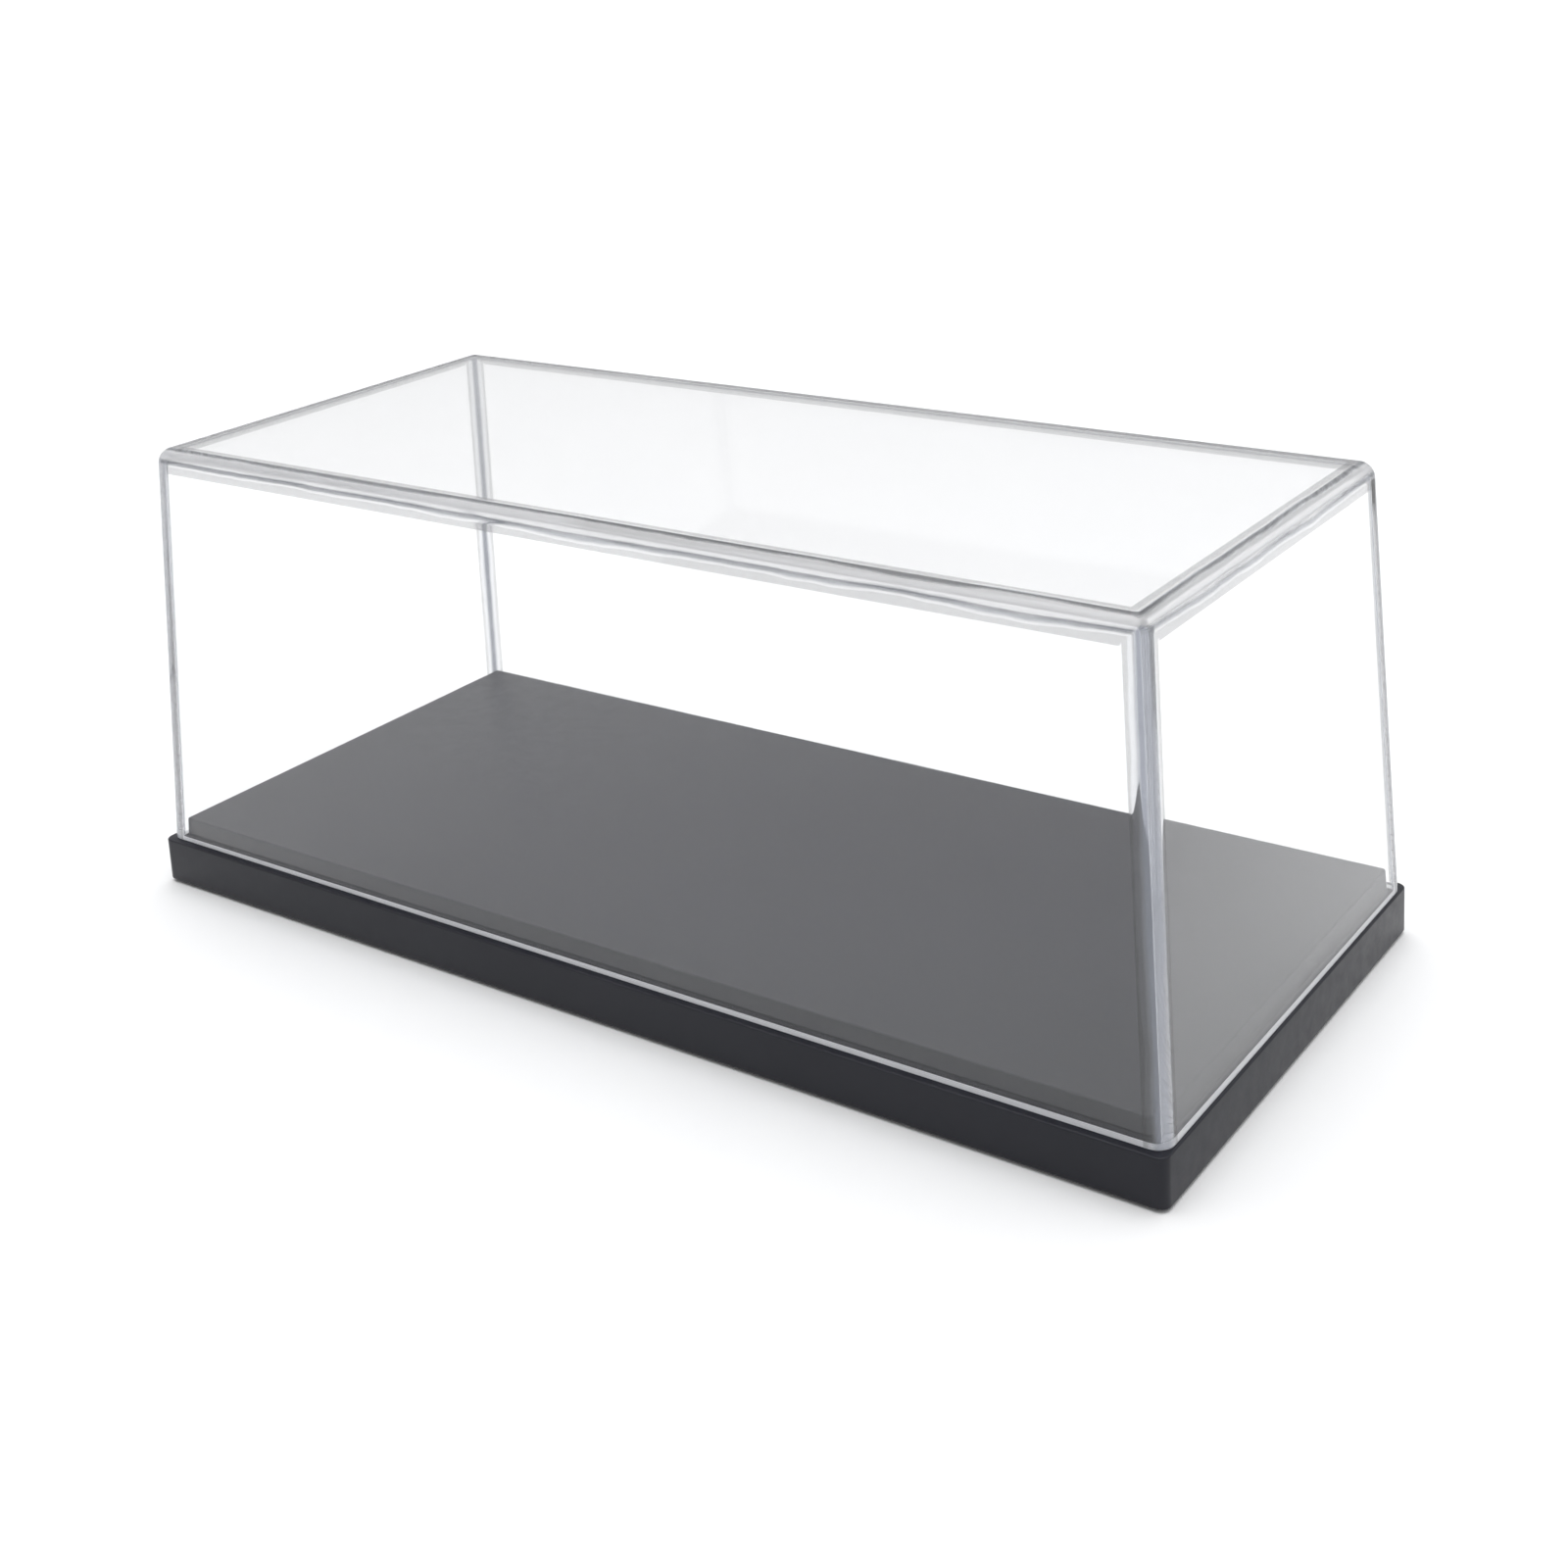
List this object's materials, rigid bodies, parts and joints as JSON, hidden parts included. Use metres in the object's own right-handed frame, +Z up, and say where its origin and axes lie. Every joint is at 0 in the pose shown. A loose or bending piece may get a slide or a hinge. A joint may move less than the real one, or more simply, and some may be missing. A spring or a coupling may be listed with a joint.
{
  "type": "display case",
  "caption": "Clear lift-off cover with leaning walls and rounded edges over a black plinth with a raised deck, for showing a small model or collectible.",
  "frame": {"origin": "on the table, under the middle of the case: the centre of the bottom of its bounding box", "axes": "+X along the length, +Y from the front long side to the back, +Z up, the way the cover lifts off"},
  "size_m": [0.245, 0.113, 0.099],
  "materials": {
    "clear_plastic": "clear polished",
    "black_plastic": "satin moulded",
    "foot_rubber": "matt"
  },
  "bodies": {
    "base": {"base_plinth": "black_plastic", "foot_front_left": "foot_rubber", "foot_front_right": "foot_rubber", "foot_back_left": "foot_rubber", "foot_back_right": "foot_rubber"},
    "cover": {"clear_cover": "clear_plastic"}
  },
  "joints": [
    {"name": "cover_lift", "type": "slide", "parent": "base", "child": "cover", "axis": [0, 0, 1], "range_m": [0, 0.1]}
  ]
}
